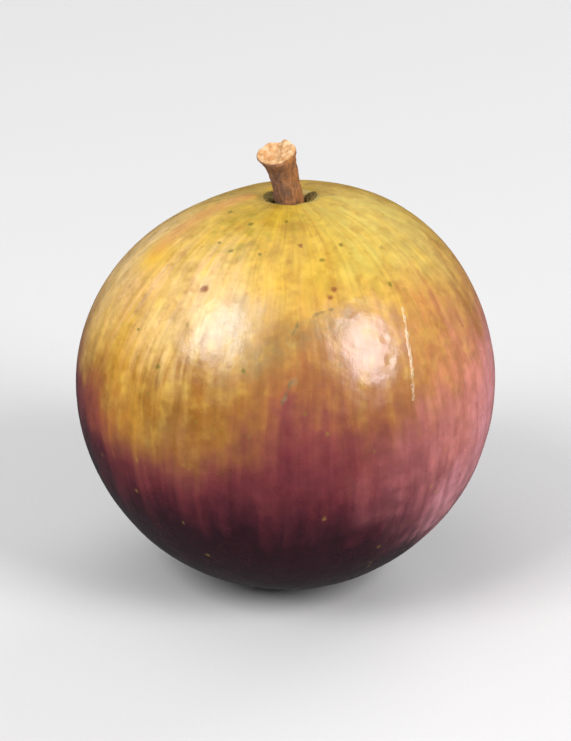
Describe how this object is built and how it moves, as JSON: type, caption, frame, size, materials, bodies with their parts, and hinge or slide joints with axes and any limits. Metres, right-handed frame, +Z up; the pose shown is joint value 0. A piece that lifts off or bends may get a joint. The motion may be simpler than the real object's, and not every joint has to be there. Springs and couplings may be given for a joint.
{
  "type": "star apple",
  "caption": "Whole ripe star apple (caimito) with its short woody stem and dry sepals, resting upright on the small flat spot at its blossom end.",
  "frame": {"origin": "on the surface the fruit rests on, under the middle of the fruit's box", "axes": "+Z up, from the blossom end that the fruit rests on to the stem; -Y towards the viewer, +X to the viewer's right"},
  "size_m": [0.0698, 0.0702, 0.075],
  "materials": {
    "skin": "smooth waxy fruit skin, glossy, golden at the stem end and wine red below",
    "bark": "dry brown bark, matt, with a pale torn end",
    "dry_sepal": "dry dark scale, matt"
  },
  "bodies": {
    "root": {"fruit": "skin", "stem": "bark", "sepal_1": "dry_sepal", "sepal_2": "dry_sepal", "sepal_3": "dry_sepal", "sepal_4": "dry_sepal", "sepal_5": "dry_sepal"}
  },
  "joints": []
}
